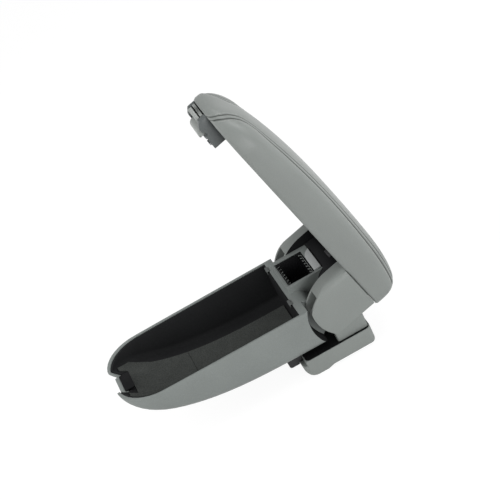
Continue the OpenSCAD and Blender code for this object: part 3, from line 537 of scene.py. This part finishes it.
def seam_at(x):
    """The seam's distance from the crown, on a smooth curve through its places."""
    for i in range(len(seam_places) - 1):
        (x0, c0), (x1, c1) = seam_places[i], seam_places[i + 1]
        if x <= x1 or i == len(seam_places) - 2:
            before = seam_places[max(i - 1, 0)]
            after = seam_places[min(i + 2, len(seam_places) - 1)]
            m0 = (c1 - before[1]) / (x1 - before[0]) * (x1 - x0)
            m1 = (after[1] - c0) / (after[0] - x0) * (x1 - x0)
            t = (x - x0) / (x1 - x0)
            return ((2 * t ** 3 - 3 * t ** 2 + 1) * c0 + (t ** 3 - 2 * t ** 2 + t) * m0
                    + (3 * t ** 2 - 2 * t ** 3) * c1 + (t ** 3 - t ** 2) * m1)


def seam_height(d):
    """How far the cover stands out, at a distance from the lower groove towards the crown."""
    valley = -valley_depth * math.exp(-((d - rib_w / 2) / valley_w) ** 2)
    grooves = (-lower_depth * math.exp(-(d / lower_w) ** 2)
               - upper_depth * math.exp(-((d - rib_w) / upper_w) ** 2))
    rib = rib_high * math.sin(math.pi * d / rib_w) if 0 < d < rib_w else 0
    return valley + grooves + rib


def opened(x, y, z):
    """A point of the closed lid, in millimetres from the axle, where the open lid has it."""
    return Vector(((x * math.cos(open_turn) + z * math.sin(open_turn)) * mm + axle.x, y * mm,
                   (-x * math.sin(open_turn) + z * math.cos(open_turn)) * mm + axle.z))


# Distances from the lower groove that get a row of points
zone = (-7, -5, -3.6, -2.6, -1.9, -1.3, -0.8, -0.4, 0, 0.4, 0.8, 1.3, 2, 2.9, 3.75, 4.6, 5.5, 6.2,
        6.7, 7.1, 7.5, 7.9, 8.3, 8.8, 9.4, 10.2, 11.2, 12.6, 14.5)
side_steps, top_steps, arch_steps, count = 18, 18, 240, 230
end_crowding = 0.82
steps_at = (-pad_reach + tuck, bay_narrow_front, bay_wide_front, bay_end, pad_back - tuck)
stations = [-pad_reach + pad_len * (i / count - math.sin(2 * math.pi * i / count) / (2 * math.pi) * end_crowding)
            for i in range(count + 1)]
stations = sorted([x for x in stations if all(abs(x - step) > 0.06 for step in steps_at)]
                  + [step + side for step in steps_at for side in (-0.02, 0.02)])
rings, ring_uv = [], []
for x in stations:
    half, top = pad_plan(x), pad_top(x)
    rolled = max(0, (x - pad_back + pad_roll) / pad_roll)
    roll_in = pad_roll * (1 - math.sqrt(max(0, 1 - rolled ** 2)))
    line = [(half - pad_foot, pad_low)]
    for k in range(arch_steps + 1):
        a = math.pi / 2 * k / arch_steps
        line.append((half * math.cos(a) ** pad_section if k < arch_steps else 0,
                     pad_low + pad_foot + (top - pad_foot) * math.sin(a) ** pad_section))
    line = [(y * (1 - roll_in / half), z - roll_in * (z - pad_low) / top) for y, z in line]
    runs = [0]
    for (y0, z0), (y1, z1) in zip(line, line[1:]):
        runs.append(runs[-1] + math.hypot(y1 - y0, z1 - z0))
    total = runs[-1]
    seam = total - seam_at(x)
    goals = [(seam + zone[0]) * k / side_steps for k in range(side_steps)] + [seam + offset for offset in zone]
    from_here = max(seam + zone[-1], 0)
    goals += [from_here + (total - from_here) * k / top_steps for k in range(1, top_steps + 1)]
    goals = [min(max(goal, 0.002 * k), total - 0.002 * (len(goals) - 1 - k)) for k, goal in enumerate(goals)]
    shown = min(max(seam / 6, 0), 1) * min(max((pad_back - x) / 4, 0), 1)
    shown = shown * shown * (3 - 2 * shown)
    # Underside, from the middle of the bay out to the fold
    inside = -pad_reach + tuck < x < pad_back - tuck
    low_z = recess_z if inside else pad_low
    bay_y = bay_wide if x > bay_wide_front else bay_narrow
    in_bay = bay_narrow_front < x < bay_end
    edge_y = max(line[0][0] + pad_foot - tuck, 0.3)
    bay_y = min(bay_y, edge_y - 0.1) if in_bay else edge_y * 0.6
    high_z = bay_z if in_bay else low_z
    half_ring = [(0, high_z), (bay_y, high_z), (bay_y, low_z), (edge_y, low_z), (edge_y, pad_low)]
    half_uv = [-1.0] * len(half_ring)
    j = 0
    for goal in goals:
        while j < len(runs) - 2 and runs[j + 1] < goal:
            j += 1
        (y0, z0), (y1, z1) = line[j], line[j + 1]
        span = max(runs[j + 1] - runs[j], 1e-9)
        t = (goal - runs[j]) / span
        out = shown * seam_height(goal - seam)
        half_ring.append((y0 + t * (y1 - y0) + out * (z1 - z0) / span if goal < total - 0.001 else 0,
                          z0 + t * (z1 - z0) - out * (y1 - y0) / span))
        half_uv.append((goal - seam) / map_unit)
    rings.append([(x, y, z) for y, z in half_ring] + [(x, -y, z) for y, z in reversed(half_ring[1:-1])])
    ring_uv.append([(x / map_unit, v) for v in half_uv] + [(x / map_unit, v) for v in reversed(half_uv[1:-1])])
per_ring = len(rings[0])
faces = []
for i in range(len(stations) - 1):
    for j in range(per_ring):
        after = (j + 1) % per_ring
        faces.append((i * per_ring + j, i * per_ring + after, (i + 1) * per_ring + after, (i + 1) * per_ring + j))
faces.append(list(range(per_ring))[::-1])
faces.append([(len(stations) - 1) * per_ring + j for j in range(per_ring)])
cover_mesh = bpy.data.meshes.new("lid_cover")
cover_mesh.from_pydata([opened(*p) for ring in rings for p in ring], [], faces)
seam_map = cover_mesh.uv_layers.new(name="seam")
flat_uv = [uv for ring in ring_uv for uv in ring]
for corner in cover_mesh.loops:
    seam_map.data[corner.index].uv = flat_uv[corner.vertex_index]
cover = bpy.data.objects.new("lid_cover", cover_mesh)
bpy.context.scene.collection.objects.link(cover)
bpy.ops.object.select_all(action="DESELECT")
bpy.context.view_layer.objects.active = cover
cover.select_set(True)
bpy.ops.object.mode_set(mode="EDIT")
bpy.ops.mesh.select_all(action="SELECT")
bpy.ops.mesh.remove_doubles(threshold=0.000008)
bpy.ops.mesh.normals_make_consistent(inside=False)
bpy.ops.object.mode_set(mode="OBJECT")
bpy.ops.object.shade_smooth_by_angle(angle=math.radians(55))

# Leather: pebbled grain, the sewn grooves darkened as painted shade, and a row of thread stitches beside each groove.
leather = plastic("grey_leather", (0.246, 0.264, 0.252), 0.46, 900, 0.00018, 0.07)
ln, ll = leather.node_tree.nodes, leather.node_tree.links
leather_shader = ln["Principled BSDF"]
leather_grain = next(n for n in ln if n.type == "GROUP")
leather_bump = next(n for n in ln if n.type == "BUMP")
leather_shader.inputs["Sheen Weight"].default_value = 0.14
leather_shader.inputs["Sheen Roughness"].default_value = 0.35
sewing = bpy.data.node_groups.new("sewn_lines", "ShaderNodeTree")
for socket, kind, way in (("Seam", "NodeSocketVector", "INPUT"), ("Groove", "NodeSocketFloat", "OUTPUT"),
                          ("Thread", "NodeSocketFloat", "OUTPUT")):
    sewing.interface.new_socket(name=socket, in_out=way, socket_type=kind)
sn, sl = sewing.nodes, sewing.links
sewing_in, sewing_out = sn.new("NodeGroupInput"), sn.new("NodeGroupOutput")
seam_split = sn.new("ShaderNodeSeparateXYZ")
sl.new(sewing_in.outputs["Seam"], seam_split.inputs[0])


def line_mask(offset, inner, outer):
    """1 on a line at an offset from the lower groove, falling to 0 beside it; sizes in millimetres."""
    away = sn.new("ShaderNodeMath")
    away.operation = "SUBTRACT"
    away.inputs[1].default_value = offset / map_unit
    sl.new(seam_split.outputs["Y"], away.inputs[0])
    size = sn.new("ShaderNodeMath")
    size.operation = "ABSOLUTE"
    sl.new(away.outputs[0], size.inputs[0])
    fall = sn.new("ShaderNodeMapRange")
    fall.interpolation_type = "SMOOTHSTEP"
    for name, value in (("From Min", inner / map_unit), ("From Max", outer / map_unit), ("To Min", 1), ("To Max", 0)):
        fall.inputs[name].default_value = value
    sl.new(size.outputs[0], fall.inputs["Value"])
    return fall.outputs["Result"]


def larger(a, b):
    pick = sn.new("ShaderNodeMath")
    pick.operation = "MAXIMUM"
    sl.new(a, pick.inputs[0])
    sl.new(b, pick.inputs[1])
    return pick.outputs[0]


sl.new(larger(line_mask(0, 0.5, 2.1), line_mask(rib_w, 0.4, 1.9)), sewing_out.inputs["Groove"])
stitch_turns = sn.new("ShaderNodeMath")
stitch_turns.operation = "MULTIPLY"
stitch_turns.inputs[1].default_value = map_unit / stitch_pitch
sl.new(seam_split.outputs["X"], stitch_turns.inputs[0])
stitch_part = sn.new("ShaderNodeMath")
stitch_part.operation = "FRACT"
sl.new(stitch_turns.outputs[0], stitch_part.inputs[0])
stitch_on = sn.new("ShaderNodeMath")
stitch_on.operation = "LESS_THAN"
stitch_on.inputs[1].default_value = stitch_share
sl.new(stitch_part.outputs[0], stitch_on.inputs[0])
thread_mask = sn.new("ShaderNodeMath")
thread_mask.operation = "MULTIPLY"
sl.new(larger(line_mask(-stitch_off, 0.25, 0.5), line_mask(rib_w + stitch_off, 0.25, 0.5)), thread_mask.inputs[0])
sl.new(stitch_on.outputs[0], thread_mask.inputs[1])
sl.new(thread_mask.outputs[0], sewing_out.inputs["Thread"])
seam_uv = ln.new("ShaderNodeUVMap")
seam_uv.uv_map = "seam"
sewn = ln.new("ShaderNodeGroup")
sewn.node_tree = sewing
ll.new(seam_uv.outputs["UV"], sewn.inputs["Seam"])
# Painted shade: the groove mask multiplies the leather's colour darker in the grooves.
shaded = ln.new("ShaderNodeMix")
shaded.data_type = "RGBA"
shaded.blend_type = "MULTIPLY"
shaded.inputs["B"].default_value = (0.30, 0.31, 0.30, 1)
ll.new(sewn.outputs["Groove"], shaded.inputs["Factor"])
ll.new(leather_grain.outputs["Colour"], shaded.inputs["A"])
threaded = ln.new("ShaderNodeMix")
threaded.data_type = "RGBA"
threaded.inputs["B"].default_value = (0.34, 0.355, 0.34, 1)
ll.new(sewn.outputs["Thread"], threaded.inputs["Factor"])
ll.new(shaded.outputs["Result"], threaded.inputs["A"])
ll.new(threaded.outputs["Result"], leather_shader.inputs["Base Color"])
thread_rise = ln.new("ShaderNodeMath")
thread_rise.operation = "MULTIPLY_ADD"
thread_rise.inputs[1].default_value = 2.5
ll.new(sewn.outputs["Thread"], thread_rise.inputs[0])
ll.new(leather_grain.outputs["Height"], thread_rise.inputs[2])
ll.new(thread_rise.outputs[0], leather_bump.inputs["Height"])
cover_mesh.materials.append(leather)
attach(cover, "lid")
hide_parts("lid_pad")
